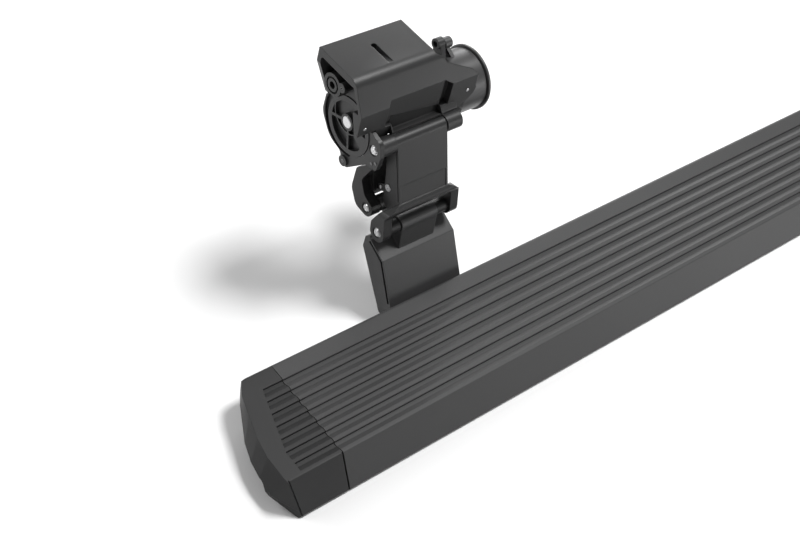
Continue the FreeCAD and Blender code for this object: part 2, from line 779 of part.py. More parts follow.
def plate_screws():
    face = plate_left - bearing_boss_reach
    stud = turned(stud_y, stud_z, [(face - 0.4, 1.4), (face, 1.8), (face + 6.0, 1.8)])
    low = turned(foot_lug_y, foot_lug_z, [(plate_left - 2.9, 1.6), (plate_left - 2.5, 2.0), (plate_left + 1.0, 2.0)])
    dots = []
    for y, z in ((upper_pivot_y - 2.0, upper_pivot_z - 18.5), (upper_pivot_y - 8.0, upper_pivot_z - 13.6)):
        dots.append(turned(y, z, [(plate_left - 0.8, 1.4), (plate_left - 0.3, 2.0), (plate_left, 2.0)]))
    return Part.makeCompound([stud, low] + dots)


def pivot_pin(y, z, radius, left, right):
    # A steel pin whose left end stands in a dark recess
    return turned(y, z, [(left, pin_nose_r - 0.8), (left + 0.8, pin_nose_r), (left + 1.4, pin_nose_r),
                         (left + 1.4, radius), (right - 0.8, radius), (right, radius - 0.8)])


def face_screws():
    screws = []
    for x in (-cover_left + 9.5, flap_right - 12.5):
        start = V(x, front_face_y, -front_face_bottom + 9.5)
        screws.append(Part.makeCone(2.0, 1.2, 0.8, start, V(0, -1, 0)))
    return Part.makeCompound(screws)


def motor_can():
    can = rod(motor_y, motor_z, barrel_radius, barrel_end + 0.2, can_end)
    lug = rod(motor_lug_y, motor_lug_z, motor_lug_r, can_lug_left, motor_lug_right)
    web = prism_x([(motor_lug_y - motor_lug_r + 2.0, motor_lug_z), (motor_lug_y + motor_lug_r - 2.0, motor_lug_z),
                   (motor_y + 16.0, motor_z + 20.0), (motor_y - 2.0, motor_z + 20.0)],
                  can_lug_left + 2.0, motor_lug_right - 3.0)
    body = joined([can, lug, web])
    return body.cut(rod(motor_lug_y, motor_lug_z, 2.2, 0.0, motor_lug_right + 1.0))


def motor_seal():
    return rod(motor_y, motor_z, barrel_radius - 1.6, can_end, can_end + seal_width)


def motor_end_plate():
    left = can_end + seal_width
    right = left + end_plate_thickness
    return turned(motor_y, motor_z, [(left, end_plate_radius - 0.6), (left + 0.6, end_plate_radius),
                                     (right - 1.4, end_plate_radius), (right, end_plate_radius - 1.4),
                                     (right, 20.0), (right + 2.0, 18.0), (right + 2.0, 6.0)])


def motor_bolt():
    # A short screw that fills the can's lug from its right side
    return turned(motor_lug_y, motor_lug_z, [(can_lug_left + 1.6, 2.0), (motor_lug_right, 2.0),
                                             (motor_lug_right, 3.8), (motor_lug_right + 2.6, 3.8),
                                             (motor_lug_right + 3.2, 3.2)])


def cable_gland():
    # A short gland low on the inboard side of the motor, where the lead would come out
    sunk = barrel_radius * 0.62
    gland = Part.makeCone(gland_radius, gland_radius - 2.0, gland_length, V((barrel_end + can_end) / 2,
                          motor_y + sunk, motor_z - sunk), V(0, 1, -1))
    return gland.cut(rod(motor_y, motor_z, barrel_radius, barrel_end, can_end))


def link_at(along, out):
    # A point of the swing link: along it from the upper pivot, and out to its inboard side
    uy, uz = -link_reach / link_length, -link_drop / link_length
    return (upper_pivot_y + along * uy - out * uz, upper_pivot_z + along * uz + out * uy)


def link_plan(normal):
    # The link seen from its front: a plain slab, a wide crosspiece and two lugs
    half = clevis_half_width
    lug = half - clevis_lug
    end = link_length + clevis_radius + 4.0
    front = [(-link_half_width, -link_eye - 4.0), (link_half_width, -link_eye - 4.0),
             (link_half_width, link_shoulder, 2.0), (half - 12.0, link_shoulder + 4.5, 4.0),
             (half, link_edge_drop, 10.0), (half, end),
             (lug, end), (lug, link_cross_end, 4.0), (-lug, link_cross_end, 4.0), (-lug, end),
             (-half, end), (-half, link_edge_drop, 10.0), (4.0 - half, link_shoulder + 9.0, 4.0),
             (-link_half_width, link_shoulder, 2.0)]
    uy, uz = -link_reach / link_length, -link_drop / link_length
    wire = rounded_wire(front, lambda p: V(p.x, upper_pivot_y + p.y * uy, upper_pivot_z + p.y * uz))
    sheet = Part.Face(wire)
    sheet.translate(normal * -clevis_half_width)
    return sheet.extrude(normal * (2 * clevis_half_width))


def main_link():
    half = clevis_half_width
    wide = link_half_width
    eye = rod(upper_pivot_y, upper_pivot_z, link_eye, -wide, wide)
    slab = prism_x([
        link_at(0.0, -link_eye),
        link_at(link_shoulder + 1.5, -link_neck_out) + (1.0,),
        link_at(link_shoulder + 4.5, -link_neck_out - 3.0) + (0.8,),
        link_at(link_shoulder + 8.5, -link_neck_out - 3.0) + (1.5,),
        link_at(link_cross_end + 1.0, -link_neck_out + 2.5),
        link_at(link_cross_end + 1.0, link_back_out - 2.0) + (3.0,),
        link_at(link_shoulder + 8.0, link_back_out + 1.5) + (6.0,),
        link_at(link_shoulder - 33.0, link_eye) + (14.0,),
        link_at(0.0, link_eye),
    ], -wide, wide)
    cross = prism_x([
        link_at(link_shoulder, -link_neck_out - 0.5) + (1.0,),
        link_at(link_shoulder + 4.5, -link_neck_out - 3.0) + (0.8,),
        link_at(link_shoulder + 8.5, -link_neck_out - 3.0) + (1.5,),
        link_at(link_cross_end + 1.0, -link_neck_out + 2.5) + (4.0,),
        link_at(link_length, -clevis_radius),
        link_at(link_length, clevis_radius),
        link_at(link_length - 12.0, clevis_radius - 1.5) + (8.0,),
        link_at(link_shoulder + 9.0, -4.0),
    ], -half, half)
    tip = rod(lower_pivot_y, lower_pivot_z, clevis_radius, -half, half)
    bump_y, bump_z = link_at(66.0, 8.0)
    dowel_y, dowel_z = dowel_centre()
    bump = tapered_bar((dowel_y, dowel_z, 4.6), (bump_y, bump_z, 6.0), -wide, -wide + 5.0)
    normal = V(0, link_drop / link_length, -link_reach / link_length)
    body = joined([slab, eye, cross, tip, bump]).common(link_plan(normal))
    cuts = [rod(upper_pivot_y, upper_pivot_z, bush_radius, -half, half)]
    cuts.append(rod(lower_pivot_y, lower_pivot_z, pivot_pin_r, -half - 1.0, half + 1.0))
    cuts.append(rod(lower_pivot_y, lower_pivot_z, pin_recess_r, -half - 1.0, -half + pin_recess))
    cuts.append(label_recess())
    cuts += [edge_groove(-wide), edge_groove(wide)]
    return body.cut(cuts)


def pin_spacers():
    # Plain sleeves on the lower pin, between the bracket's barrel and the link's lugs
    inner = barrel_half_width + 0.4
    outer = clevis_half_width - clevis_lug
    sleeves = []
    for left in (-outer, inner):
        sleeve = rod(lower_pivot_y, lower_pivot_z, spacer_radius, left, left + outer - inner)
        sleeves.append(sleeve.cut(rod(lower_pivot_y, lower_pivot_z, pivot_pin_r, -half_through, half_through)))
    return Part.makeCompound(sleeves)


def dowel_centre():
    return link_at(68.0, 19.0)


def edge_groove(x):
    # A fine groove in the link's side, just behind its front face
    first = link_eye - link_groove * 1.6
    last = link_neck_out - link_groove * 1.6
    return prism_x([
        link_at(0.0, -first),
        link_at(link_shoulder - 2.0, -last),
        link_at(link_shoulder - 2.0, link_groove - last),
        link_at(0.0, link_groove - first),
    ], x - link_groove, x + link_groove)


def label_recess():
    # A shallow panel low on the front face, left bare
    wide = link_half_width - 3.0
    return prism_x([
        link_at(link_shoulder - 23.0, -link_neck_out - 4.0),
        link_at(link_shoulder - 23.0, -link_neck_out + 2.3),
        link_at(link_shoulder + 0.2, -link_neck_out + 0.9),
        link_at(link_shoulder + 0.2, -link_neck_out - 4.0),
    ], -wide, wide)


def bushes(y, z, half_width, length):
    # A pair of plain bushes, one at each end of an eye
    pair = []
    for left in (-half_width, half_width - length):
        sleeve = rod(y, z, bush_radius, left, left + length)
        pair.append(sleeve.cut(rod(y, z, pivot_pin_r + pin_play, left - 1.0, left + length + 1.0)))
    return Part.makeCompound(pair)


def link_plug():
    y, z = link_at(63.0, 5.6)
    plug = turned(y, z, [(-link_half_width - 1.2, 4.0), (-link_half_width - 0.6, 4.8),
                         (-link_half_width, 4.8)])
    slot = Part.makeBox(1.0, 12.0, 1.3, V(-link_half_width - 1.6, y - 6.0, z - 0.65))
    return plug.cut(slot)


def link_dowel():
    y, z = dowel_centre()
    return turned(y, z, [(-link_half_width - 1.4, 1.8), (-link_half_width - 0.8, 2.5), (-link_half_width, 2.5)])


def arm_at(along, out):
    # A point of the drive arm: along it from its upper pivot, and out to its inboard side
    uy, uz = -link_reach / link_length, -link_drop / link_length
    return (arm_top_y + along * uy - out * uz, arm_top_z + along * uz + out * uy)


def arm_shape():
    # A C-shaped arm: a flat outline with round eyes, and a wider wall inside the C
    left = -arm_left
    right = left + arm_thickness
    eye = rod(arm_low_y, arm_low_z, arm_eye_r, left, right)
    hub = rod(arm_top_y, arm_top_z, arm_hub_r, left, right)
    outline = prism_x([
        (arm_top_y + 10.5, arm_top_z - 6.0),
        (arm_top_y - 8.0, arm_top_z - 36.0, 12.0),
        (arm_top_y - 15.5, arm_top_z - link_drop * 0.49, 8.0),
        (arm_top_y - 0.5, arm_top_z - link_drop * 0.62, 10.0),
        (arm_low_y + 32.0, arm_low_z + 9.0, 16.0),
        (arm_low_y + 18.0, arm_low_z - 10.0, 12.0),
        (arm_low_y - 1.0, arm_low_z - arm_eye_r - 0.2),
        (arm_low_y - 8.5, arm_low_z + 8.5),
        (arm_low_y + 8.0, arm_low_z + 15.0, 12.0),
        (arm_low_y + 18.5, arm_low_z + 32.0, 8.0),
        (arm_low_y + 10.5, arm_low_z + link_drop * 0.45, 8.0),
        (arm_low_y + 4.5, arm_low_z + link_drop * 0.56, 10.0),
        (arm_top_y - 12.0, arm_top_z - 6.0),
    ], left, right)
    wall = prism_x([
        arm_at(50.0, 4.5),
        arm_at(57.0, 1.6),
        arm_at(95.0, 1.6) + (4.0,),
        arm_at(108.9, 10.1) + (2.0,),
        arm_at(110.6, 20.5) + (3.0,),
        arm_at(98.5, 26.4) + (14.0,),
        arm_at(69.2, 16.0) + (6.0,),
        arm_at(52.0, 9.5),
    ], right - 1.0, right + arm_wall_extra)
    body = joined([eye, hub, outline, wall])
    cuts = [rod(arm_low_y, arm_low_z, arm_pin_r + seat_gap, left - 1.0, right + 1.0)]
    cuts.append(rod(arm_low_y, arm_low_z, pin_recess_r, left - 1.0, left + pin_recess))
    cuts.append(rod(arm_top_y, arm_top_z, drive_shaft_r, left - 1.0, right + 1.0))
    return body.cut(cuts)


def drive_shaft():
    left = plate_right - 0.6
    return turned(arm_top_y, arm_top_z, [(left, drive_shaft_r - 0.6), (left + 0.6, drive_shaft_r),
                                         (barrel_end - 7.0, drive_shaft_r), (barrel_end - 6.4, drive_shaft_r - 0.6)])


def blade_line():
    # The front line of the blade, from its top edge down to the board
    out = board_front_out
    up = board_below_pivot
    return [board_at(out + 11.0, up - 15.4), board_at(out + 7.5, up - 20.8), board_at(out - 20.3, up - 33.4),
            board_at(board_top_width + 8.0, -10.7), board_at(board_top_width + 1.5, -board_edge_height)]


def inset_line(points, distance):
    # The same line moved inwards, with its corners kept sharp
    result = []
    for i, point in enumerate(points):
        normals = []
        for first, second in ((i - 1, i), (i, i + 1)):
            if first < 0 or second >= len(points):
                continue
            run = V(points[second][0] - points[first][0], points[second][1] - points[first][1], 0)
            run.normalize()
            normals.append(V(-run.y, run.x, 0))
        share = normals[0] if len(normals) == 1 else (normals[0] + normals[1]) / (1 + normals[0].dot(normals[1]))
        result.append((point[0] + share.x * distance, point[1] + share.y * distance))
    return result


def blade_seam(side):
    # A groove in the blade's side, just behind its front face
    near = inset_line(blade_line()[1:4], seam_inset)
    far = inset_line(blade_line()[1:4], seam_inset + seam_width)
    outer = side * (bracket_half_width + 1.0)
    inner = side * (bracket_half_width - seam_depth)
    return prism_x(near + far[::-1], min(outer, inner), max(outer, inner))


def swing_bracket():
    # The bracket that carries the board: a narrow barrel and neck, a wide blade and a foot
    foot_top = -board_edge_height
    foot_low = foot_top - foot_thickness
    top, shoulder, crease, knee, corner = blade_line()
    blade = prism_x([
        top + (3.0,), shoulder + (3.0,), crease + (3.0,), knee + (3.0,), corner,
        board_at(foot_front_y, foot_top) + (2.0,),
        board_at(foot_front_y, foot_low) + (2.0,),
        board_at(board_top_width, foot_low - 4.0) + (8.0,),
        board_at(board_top_width + 22.0, foot_low - 8.0) + (6.0,),
        board_at(board_front_out + 18.0, board_below_pivot - 39.8) + (5.0,),
        board_at(board_front_out + 17.5, board_below_pivot - 22.5) + (3.0,),
    ], -bracket_half_width, bracket_half_width)
    neck = prism_x([
        (lower_pivot_y - 10.5, lower_pivot_z),
        (lower_pivot_y - 14.5, lower_pivot_z - 35.0),
        (lower_pivot_y + 8.0, lower_pivot_z - 40.0),
        (lower_pivot_y + 15.0, lower_pivot_z - 20.0),
        (lower_pivot_y + 10.5, lower_pivot_z + 2.0),
    ], -barrel_half_width, barrel_half_width)
    barrel = rod(lower_pivot_y, lower_pivot_z, bracket_barrel_r, -barrel_half_width, barrel_half_width)
    lug_left = -arm_left + arm_thickness + 1.4
    lug = rod(arm_low_y, arm_low_z, arm_eye_r - 1.0, lug_left, -barrel_half_width + 8.0)
    lug_web = tapered_bar((arm_low_y, arm_low_z, arm_eye_r - 1.0), (lower_pivot_y + 6.0, lower_pivot_z - 6.0, 12.0),
                          -barrel_half_width, -barrel_half_width + 8.0)
    body = joined([blade, neck, barrel, lug, lug_web])
    cuts = [rod(lower_pivot_y, lower_pivot_z, bush_radius, -barrel_half_width, barrel_half_width)]
    cuts.append(rod(arm_low_y, arm_low_z, arm_pin_r, -through, -barrel_half_width + 5.0))
    swing = rod(lower_pivot_y, lower_pivot_z, clevis_radius + 1.5, barrel_half_width + 4.0, bracket_half_width + 2.0)
    cuts += [swing, swing.mirror(V(0, 0, 0), V(1, 0, 0)), blade_seam(-1), blade_seam(1)]
    for x in (-foot_bolt_x, foot_bolt_x):
        for y in (tslot_front_y, tslot_rear_y):
            cuts.append(rod_z(x, deck_front_y + y, foot_bolt_r + seat_gap, deck_z + foot_low - 12.0,
                              deck_z + foot_top + 1.0))
    return body.cut(cuts)


def foot_bolts(x0):
    # Hammer-head bolts in the board's slots, with nuts under the bracket's foot
    bolts = []
    foot_top = -board_edge_height
    foot_low = foot_top - foot_thickness
    for x in (x0 - foot_bolt_x, x0 + foot_bolt_x):
        for y in (tslot_front_y, tslot_rear_y):
            drop = 4.0 * (y - foot_front_y) / (board_top_width - foot_front_y)
            head_low = deck_z + foot_top + tslot_lip
            centre_y = deck_front_y + y
            head = Part.makeBox(14.0, tslot_width - 1.0, 5.0, V(x - 7.0, centre_y - tslot_width / 2 + 0.5, head_low))
            shank = rod_z(x, centre_y, foot_bolt_r, deck_z + foot_low - drop - 8.0, head_low)
            nut = rod_z(x, centre_y, 6.5, deck_z + foot_low - drop - 7.0, deck_z + foot_low - drop - 0.6)
            bolts.append(head.fuse(shank).fuse(nut))
    return Part.makeCompound(bolts)


def rear_housing():
    # The idler linkage's housing: the same cover over two side walls
    wide = 66.0
    shell = prism_x(cover_section(), -wide, wide)
    walls = []
    for x in (-wide, barrel_start):
        outline = [
            (front_face_y + 2.0, -front_face_bottom + 3.0),
            (front_face_y + front_wall, -cover_wall + 1.0),
            (cover_back_y - 1.0, -cover_wall + 1.0),
            (cover_back_y - 1.0, -cover_back_drop + 1.0, 3.0),
            (arm_top_y + 20.0, arm_top_z - 22.0, 16.0),
            (upper_pivot_y, upper_pivot_z - 14.0, 6.0),
            (upper_pivot_y - 12.0, upper_pivot_z - 6.0, 6.0),
        ]
        walls.append(prism_x(outline, x, x + wide - barrel_start))
    ears = [ear(-1), ear(1)]
    link_wall = rod(upper_pivot_y, upper_pivot_z, boss_radius, -wide, -boss_outer + 1.0)
    stub = rod(arm_top_y, arm_top_z, shaft_boss_r, -wide, -boss_outer + 3.5)
    body = joined([shell, link_wall, stub] + walls + ears + mount_bosses(0.0))
    cuts = [ramp_slot(0.0), notch_cuts()] + mount_bores(0.0)
    cuts.append(rod(upper_pivot_y, upper_pivot_z, pivot_pin_r, -through, through))
    cuts.append(rod(arm_top_y, arm_top_z, drive_shaft_r + shaft_play, -boss_outer - 2.0, 0.0))
    return moved(body.cut(cuts), linkage_spacing)


def idler_shaft():
    left = -boss_outer - 1.6
    right = -arm_left + arm_thickness + 1.0
    shaft = turned(arm_top_y, arm_top_z, [(left, drive_shaft_r - 0.6), (left + 0.6, drive_shaft_r),
                                          (right - 0.6, drive_shaft_r), (right, drive_shaft_r - 0.6)])
    return moved(shaft, linkage_spacing)


def save(name, shape):
    shape.exportStep("parts/" + name + ".step")


def linkage(prefix, x):
    save(prefix + "_main_link", moved(main_link(), x))
    save(prefix + "_link_bushes", moved(bushes(upper_pivot_y, upper_pivot_z, link_half_width, 16.0), x))
    save(prefix + "_link_plug", moved(link_plug(), x))
    save(prefix + "_link_dowel", moved(link_dowel(), x))
    lower = pivot_pin(lower_pivot_y, lower_pivot_z, pivot_pin_r, -clevis_half_width, clevis_half_width)
    save(prefix + "_lower_pin", moved(lower, x))
    save(prefix + "_pin_spacers", moved(pin_spacers(), x))
    save(prefix + "_swing_bracket", moved(swing_bracket(), x))
    save(prefix + "_bracket_bushes", moved(bushes(lower_pivot_y, lower_pivot_z, barrel_half_width, 12.0), x))
    arm_pin = pivot_pin(arm_low_y, arm_low_z, arm_pin_r, -arm_left, -barrel_half_width + 5.0)
    save(prefix + "_arm_pin", moved(arm_pin, x))
    save(prefix + "_foot_bolts", foot_bolts(x))


def main():
    os.makedirs("parts", exist_ok=True)
    save("front_housing", front_housing())
    save("gear_case_plate", gear_case_plate())
    save("gear_cover", gear_cover())
    save("bearing_plug", bearing_plug())
    save("plate_screws", plate_screws())
    save("face_screws", face_screws())
    save("front_upper_pin", pivot_pin(upper_pivot_y, upper_pivot_z, pivot_pin_r, plate_left, barrel_start - 4.0))
    save("motor_can", motor_can())
    save("motor_seal", motor_seal())
    save("motor_end_plate", motor_end_plate())
    save("motor_bolt", motor_bolt())
    save("cable_gland", cable_gland())
    save("front_drive_arm", arm_shape())
    save("drive_shaft", drive_shaft())
    linkage("front", 0.0)
    save("rear_housing", rear_housing())
    rear_pin = pivot_pin(upper_pivot_y, upper_pivot_z, pivot_pin_r, -66.0, 66.0)
    save("rear_upper_pin", moved(rear_pin, linkage_spacing))
    save("rear_idler_arm", moved(arm_shape(), linkage_spacing))
    save("idler_shaft", idler_shaft())
    linkage("rear", linkage_spacing)
    save("board_extrusion", board_extrusion())
    save("left_end_cap", left_end_cap())
    save("right_end_cap", right_end_cap())
    save("left_cap_screws", cap_screws(board_left_x + cap_tongue / 2))
    save("right_cap_screws", cap_screws(board_right_x - cap_tongue / 2))


main()
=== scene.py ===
# Looks of the power running board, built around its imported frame. Metres, +Z up.
import json
import math

import bpy
from mathutils import Matrix, Vector


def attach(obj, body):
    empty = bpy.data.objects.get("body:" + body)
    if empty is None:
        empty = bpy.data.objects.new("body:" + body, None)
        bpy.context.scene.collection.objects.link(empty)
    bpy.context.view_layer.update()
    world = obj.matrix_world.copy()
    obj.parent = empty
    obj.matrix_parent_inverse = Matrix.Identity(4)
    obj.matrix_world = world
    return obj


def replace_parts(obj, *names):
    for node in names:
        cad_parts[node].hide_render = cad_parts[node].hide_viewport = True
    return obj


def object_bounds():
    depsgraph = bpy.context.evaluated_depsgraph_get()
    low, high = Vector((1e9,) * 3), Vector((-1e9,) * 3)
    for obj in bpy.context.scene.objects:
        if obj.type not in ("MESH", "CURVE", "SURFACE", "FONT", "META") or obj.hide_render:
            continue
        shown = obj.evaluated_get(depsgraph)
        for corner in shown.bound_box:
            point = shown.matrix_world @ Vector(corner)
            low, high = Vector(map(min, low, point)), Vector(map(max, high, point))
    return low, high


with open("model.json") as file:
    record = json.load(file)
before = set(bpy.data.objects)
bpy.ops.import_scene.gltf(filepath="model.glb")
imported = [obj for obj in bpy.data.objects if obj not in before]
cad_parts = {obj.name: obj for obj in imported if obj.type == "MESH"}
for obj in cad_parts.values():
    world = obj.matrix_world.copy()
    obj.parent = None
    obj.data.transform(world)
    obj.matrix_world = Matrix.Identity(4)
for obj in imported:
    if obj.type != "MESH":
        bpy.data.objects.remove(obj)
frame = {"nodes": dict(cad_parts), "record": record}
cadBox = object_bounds()
nodes = frame["nodes"]
print("frame loaded:", len(nodes), "nodes")


cameraFacts = {
    "place": (-0.9278, -0.8514, 0.9472),
    "right": (0.7635, -0.6142, 0.1996),
    "up": (0.3550, 0.6573, 0.6648),
    "back": (-0.5395, -0.4367, 0.7199),
    "lens": 61.05,
    "sensor": 36.0,
}

# soft white studio: the key stands high at the right, so shadows fall to the left
lightFacts = {
    "world": 0.22,
    "floor": {"tone": 0.95, "size": 16.0, "middle": (0.6, 0.0), "below": 0.0004, "rough": 0.9, "gloss": 0.1},
    "boxes": {
        "keyBox": {"place": (1.1, -0.2, 2.6), "aim": (0.1, -0.1, -0.2), "size": 0.9, "power": 82.0},
        "backLeftBox": {"place": (-1.6, 1.6, 1.3), "aim": (0.1, -0.1, -0.2), "size": 1.4, "power": 27.0},
        "lowFrontBox": {"place": (2.1, -2.1, 0.1), "aim": (0.1, -0.1, -0.2), "size": 1.0, "power": 16.0},
        "lowBackBox": {"place": (2.0, 1.6, 0.5), "aim": (0.1, -0.1, -0.2), "size": 1.2, "power": 24.0},
    },
}


def addCamera(facts):
    camera = bpy.data.objects.new("photoCamera", bpy.data.cameras.new("photoCamera"))
    bpy.context.scene.collection.objects.link(camera)
    turn = Matrix((facts["right"], facts["up"], facts["back"])).transposed()
    camera.matrix_world = Matrix.Translation(Vector(facts["place"])) @ turn.to_4x4()
    camera.data.lens = facts["lens"]
    camera.data.sensor_width = facts["sensor"]
    camera.data.clip_start = 0.05
    camera.data.clip_end = 60.0
    bpy.context.scene.camera = camera


def addSoftbox(name, facts):
    lamp = bpy.data.lights.new(name, "AREA")
    lamp.shape = "DISK"
    lamp.size = facts["size"]
    lamp.energy = facts["power"]
    box = bpy.data.objects.new(name, lamp)
    bpy.context.scene.collection.objects.link(box)
    place = Vector(facts["place"])
    box.location = place
    box.rotation_mode = "QUATERNION"
    box.rotation_quaternion = (place - Vector(facts["aim"])).to_track_quat("Z", "Y")


def deselectAll():
    bpy.ops.object.select_all(action="DESELECT")


def addFloor(facts):
    deselectAll()
    place = (facts["middle"][0], facts["middle"][1], cadBox[0].z - facts["below"])
    bpy.ops.mesh.primitive_plane_add(size=facts["size"], location=place)
    floor = bpy.context.object
    floor.name = "studioFloor"
    paper = bpy.data.materials.new("studioPaper")
    paper.use_nodes = True
    shader = paper.node_tree.nodes["Principled BSDF"]
    shader.inputs["Base Color"].default_value = [facts["tone"]] * 3 + [1.0]
    shader.inputs["Roughness"].default_value = facts["rough"]
    shader.inputs["Specular IOR Level"].default_value = facts["gloss"]
    floor.data.materials.append(paper)


def addWorld(strength):
    world = bpy.data.worlds.new("studioWorld")
    bpy.context.scene.world = world
    world.use_nodes = True
    sky = world.node_tree.nodes["Background"]
    sky.inputs["Color"].default_value = (1.0, 1.0, 1.0, 1.0)
    sky.inputs["Strength"].default_value = strength


addCamera(cameraFacts)
addFloor(lightFacts["floor"])
addWorld(lightFacts["world"])
for boxName, boxFacts in lightFacts["boxes"].items():
    addSoftbox(boxName, boxFacts)
bpy.context.scene.view_settings.view_transform = "Standard"
print("camera, floor and lights set")


def newGroup(name, inputs, outputs):
    group = bpy.data.node_groups.new(name, "ShaderNodeTree")
    for label, kind, value in inputs:
        socket = group.interface.new_socket(name=label, in_out="INPUT", socket_type=kind)
        socket.default_value = value
    for label, kind in outputs:
        group.interface.new_socket(name=label, in_out="OUTPUT", socket_type=kind)
    return group, group.nodes.new("NodeGroupInput"), group.nodes.new("NodeGroupOutput")


def addMath(tree, operation, first, second=None, clamp=False):
    node = tree.nodes.new("ShaderNodeMath")
    node.operation = operation
    node.use_clamp = clamp
    for index, value in enumerate((first, second)):
        if value is None:
            continue
        if isinstance(value, (int, float)):
            node.inputs[index].default_value = value
        else:
            tree.links.new(value, node.inputs[index])
    return node.outputs[0]


def addNoise(tree, vector, scale, detail, rough=0.5):
    node = tree.nodes.new("ShaderNodeTexNoise")
    node.inputs["Detail"].default_value = detail
    node.inputs["Roughness"].default_value = rough
    tree.links.new(vector, node.inputs["Vector"])
    if isinstance(scale, (int, float)):
        node.inputs["Scale"].default_value = scale
    else:
        tree.links.new(scale, node.inputs["Scale"])
    return node.outputs["Fac"]


def makeCoatGrain():
    # the fine pebble of a powder coat, and slow clouds of gloss and tone
    group, given, made = newGroup(
        "coatGrain",
        [("Grain Scale", "NodeSocketFloat", 1500.0), ("Cloud Scale", "NodeSocketFloat", 30.0)],
        [("Height", "NodeSocketFloat"), ("Clouds", "NodeSocketFloat"), ("Speckle", "NodeSocketFloat")],
    )
    place = group.nodes.new("ShaderNodeTexCoord").outputs["Object"]
    pebble = group.nodes.new("ShaderNodeTexVoronoi")
    pebble.feature = "SMOOTH_F1"
    group.links.new(place, pebble.inputs["Vector"])
    group.links.new(given.outputs["Grain Scale"], pebble.inputs["Scale"])
    grain = addNoise(group, place, given.outputs["Grain Scale"], 3.0)
    clouds = addNoise(group, place, given.outputs["Cloud Scale"], 4.0, 0.6)
    speckleScale = addMath(group, "MULTIPLY", given.outputs["Grain Scale"], 0.6)
    speckle = addNoise(group, place, speckleScale, 1.0)
    soft = addMath(group, "MULTIPLY", pebble.outputs["Distance"], 0.6)
    group.links.new(addMath(group, "ADD", soft, grain), made.inputs["Height"])
    group.links.new(clouds, made.inputs["Clouds"])
    sharp = addMath(group, "SUBTRACT", speckle, 0.5)
    group.links.new(addMath(group, "MULTIPLY", sharp, 3.0), made.inputs["Speckle"])
    return group


def makeEdgeRoundAndHighlight():
    # rounds every edge in the shading, and says where an edge is, so that a painted highlight can lighten it there
    group, given, made = newGroup(
        "edgeRoundAndHighlight",
        [("Radius", "NodeSocketFloat", 0.0008), ("Breakup", "NodeSocketFloat", 90.0)],
        [("Normal", "NodeSocketVector"), ("Edge", "NodeSocketFloat")],
    )
    bevel = group.nodes.new("ShaderNodeBevel")
    bevel.samples = 6
    group.links.new(given.outputs["Radius"], bevel.inputs["Radius"])
    shape = group.nodes.new("ShaderNodeNewGeometry")
    dot = group.nodes.new("ShaderNodeVectorMath")
    dot.operation = "DOT_PRODUCT"
    group.links.new(bevel.outputs["Normal"], dot.inputs[0])
    group.links.new(shape.outputs["Normal"], dot.inputs[1])
    lost = addMath(group, "SUBTRACT", 1.0, dot.outputs["Value"], True)
    raised = addMath(group, "MULTIPLY", lost, 9.0, True)
    place = group.nodes.new("ShaderNodeTexCoord").outputs["Object"]
    patchy = addNoise(group, place, given.outputs["Breakup"], 3.0, 0.6)
    spread = addMath(group, "MULTIPLY", addMath(group, "SUBTRACT", patchy, 0.25), 2.0, True)
    group.links.new(addMath(group, "MULTIPLY", raised, spread), made.inputs["Edge"])
    group.links.new(bevel.outputs["Normal"], made.inputs["Normal"])
    return group


def makeTurnedLines():
    # the fine rings that a lathe leaves, round an axis along X
    group, given, made = newGroup(
        "turnedLines",
        [("Pitch", "NodeSocketFloat", 5200.0), ("Axis Y", "NodeSocketFloat", 0.0),
         ("Axis Z", "NodeSocketFloat", 0.0)],
        [("Height", "NodeSocketFloat")],
    )
    place = group.nodes.new("ShaderNodeTexCoord").outputs["Object"]
    parts = group.nodes.new("ShaderNodeSeparateXYZ")
    group.links.new(place, parts.inputs[0])
    besideY = addMath(group, "SUBTRACT", parts.outputs["Y"], given.outputs["Axis Y"])
    besideZ = addMath(group, "SUBTRACT", parts.outputs["Z"], given.outputs["Axis Z"])
    square = addMath(group, "ADD", addMath(group, "MULTIPLY", besideY, besideY),
                     addMath(group, "MULTIPLY", besideZ, besideZ))
    away = addMath(group, "ADD", addMath(group, "SQRT", square), parts.outputs["X"])
    wave = addMath(group, "SINE", addMath(group, "MULTIPLY", away, given.outputs["Pitch"]))
    group.links.new(wave, made.inputs["Height"])
    return group


coatGrain = makeCoatGrain()
edgeRoundAndHighlight = makeEdgeRoundAndHighlight()
turnedLines = makeTurnedLines()


